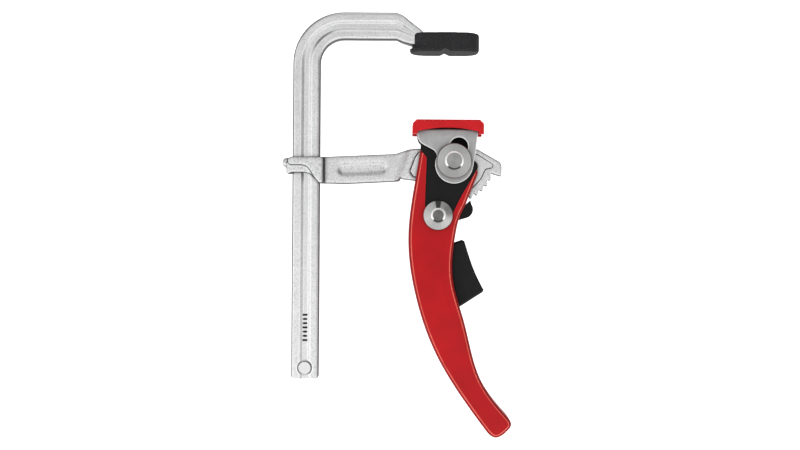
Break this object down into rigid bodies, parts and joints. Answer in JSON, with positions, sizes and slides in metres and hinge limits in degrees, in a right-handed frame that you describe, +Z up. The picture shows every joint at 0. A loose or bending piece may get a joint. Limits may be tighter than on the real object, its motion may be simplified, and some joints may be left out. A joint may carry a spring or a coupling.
{
  "type": "f clamp",
  "caption": "F clamp with a bent steel rail, a sliding arm and a red ratchet lever that lifts a pressure saddle",
  "frame": {"origin": "middle of the fixed jaw's face, on the clamping axis", "axes": "+Z up along the rail towards the fixed jaw, +X from the rail to the jaws, -Y the front"},
  "size_m": [0.1089, 0.0236, 0.2007],
  "materials": {
    "forged_steel": "satin nickel plate",
    "cast_steel": "tumbled casting, nickel plated",
    "turned_steel": "turned, zinc plated",
    "sheet_steel": "punched sheet, satin",
    "black_steel": "black coat",
    "black_plastic": "matte moulding",
    "red_plastic": "satin moulding",
    "red_grip": "semi-gloss moulding"
  },
  "bodies": {
    "root": {"rail": "forged_steel", "rail_stop_pin": "forged_steel", "jaw_cap": "black_plastic"},
    "arm": {"sliding_arm": "cast_steel", "front_pivot_insert": "cast_steel", "rear_pivot_insert": "cast_steel", "lever_pivot_rivet": "turned_steel"},
    "saddle_swivel_washers": {"front_pivot_washer": "turned_steel", "rear_pivot_washer": "turned_steel"},
    "saddle": {"pressure_saddle": "sheet_steel", "saddle_cap": "red_plastic"},
    "lever": {"front_lever_plate": "black_steel", "rear_lever_plate": "black_steel", "plate_spacers": "turned_steel", "front_grip_shell": "red_grip", "rear_grip_shell": "red_grip", "grip_screws": "turned_steel", "pawl_rivet": "turned_steel", "front_pawl_washer": "turned_steel", "rear_pawl_washer": "turned_steel", "pawl_spring": "turned_steel"},
    "pawl_and_trigger": {"pawl": "black_steel", "trigger": "black_plastic", "trigger_pins": "turned_steel"}
  },
  "joints": [
    {"name": "arm_slide", "type": "slide", "parent": "root", "child": "arm", "axis": [0, 0, 1], "range_m": [-0.083, 0.028]},
    {"name": "lever_swing", "type": "hinge", "parent": "arm", "child": "lever", "pos_m": [0.0034, 0, -0.0513], "axis": [0, -1, 0], "range_deg": [-9.5, 38]},
    {"name": "saddle_swivel", "type": "hinge", "parent": "arm", "child": "saddle_swivel_washers", "pos_m": [0.0034, 0, -0.0513], "axis": [0, -1, 0], "range_deg": [-3, 3]},
    {"name": "saddle_lift", "type": "slide", "parent": "saddle_swivel_washers", "child": "saddle", "axis": [0.3156, 0, 0.9489], "range_m": [-0.0067, 0.0018]},
    {"name": "trigger_press", "type": "hinge", "parent": "lever", "child": "pawl_and_trigger", "pos_m": [-0.0039, 0, -0.077], "axis": [0, 1, 0], "range_deg": [-5.5, 8], "stiffness_Nm_per_rad": 0.08, "deforming": ["pawl_spring"]}
  ],
  "couplings": [
    {"joint": "saddle_lift", "follows": "lever_swing", "m_per_rad": -0.0099065}
  ]
}
